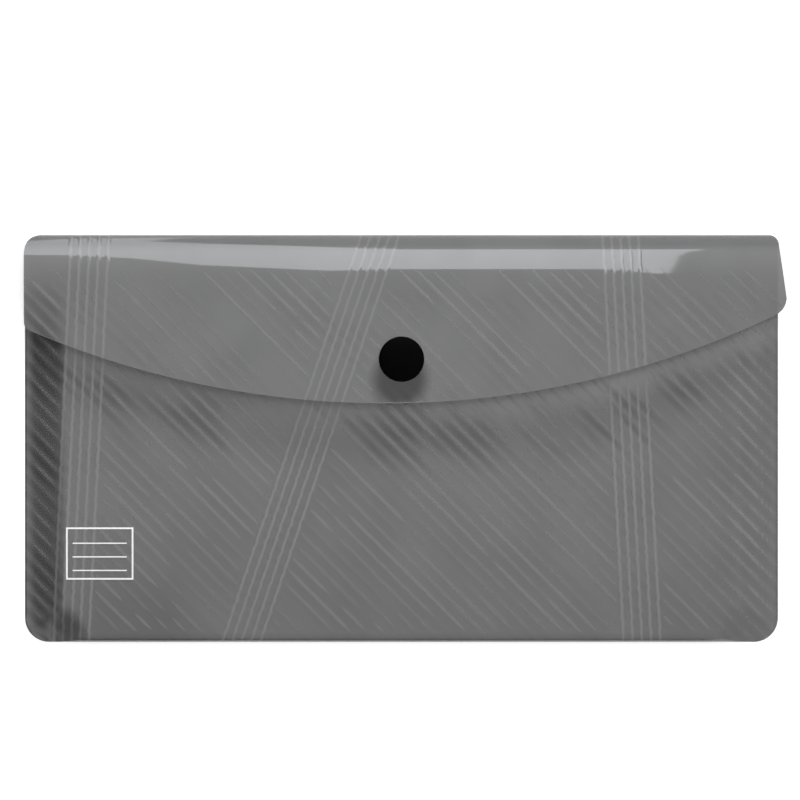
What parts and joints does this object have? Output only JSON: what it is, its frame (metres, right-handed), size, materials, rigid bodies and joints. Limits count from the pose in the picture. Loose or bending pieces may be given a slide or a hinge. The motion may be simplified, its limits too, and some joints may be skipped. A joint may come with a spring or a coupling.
{
  "type": "plastic envelope folder",
  "caption": "Flat document wallet of thin smoke-grey plastic film with welded sides, an arched flap on a soft fold and a black press stud.",
  "frame": {"origin": "centre of the back panel's outer face, which is the face that the folder lies on", "axes": "+X along the folder's width to the right as seen from the front, +Y towards the top fold, +Z out through the front"},
  "size_m": [0.2524, 0.135, 0.0103],
  "materials": {
    "smoke_film": "translucent smoke-grey polypropylene film, embossed with fine diagonal lines",
    "stud_plastic": "black moulded plastic, satin gloss"
  },
  "bodies": {
    "pocket": {"back_panel": "smoke_film", "bottom_fold": "smoke_film", "front_panel": "smoke_film", "left_weld": "smoke_film", "right_weld": "smoke_film", "back_crease": "smoke_film", "pocket_stud": "stud_plastic", "pocket_cap": "stud_plastic"},
    "flap": {"flap_crease": "smoke_film", "flap_panel": "smoke_film", "flap_cap": "stud_plastic", "flap_socket": "stud_plastic"}
  },
  "joints": [
    {"name": "flap_hinge", "type": "hinge", "parent": "pocket", "child": "flap", "pos_m": [0, 0.0675, 0.0046], "axis": [-1, 0, 0], "range_deg": [0, 178]}
  ]
}
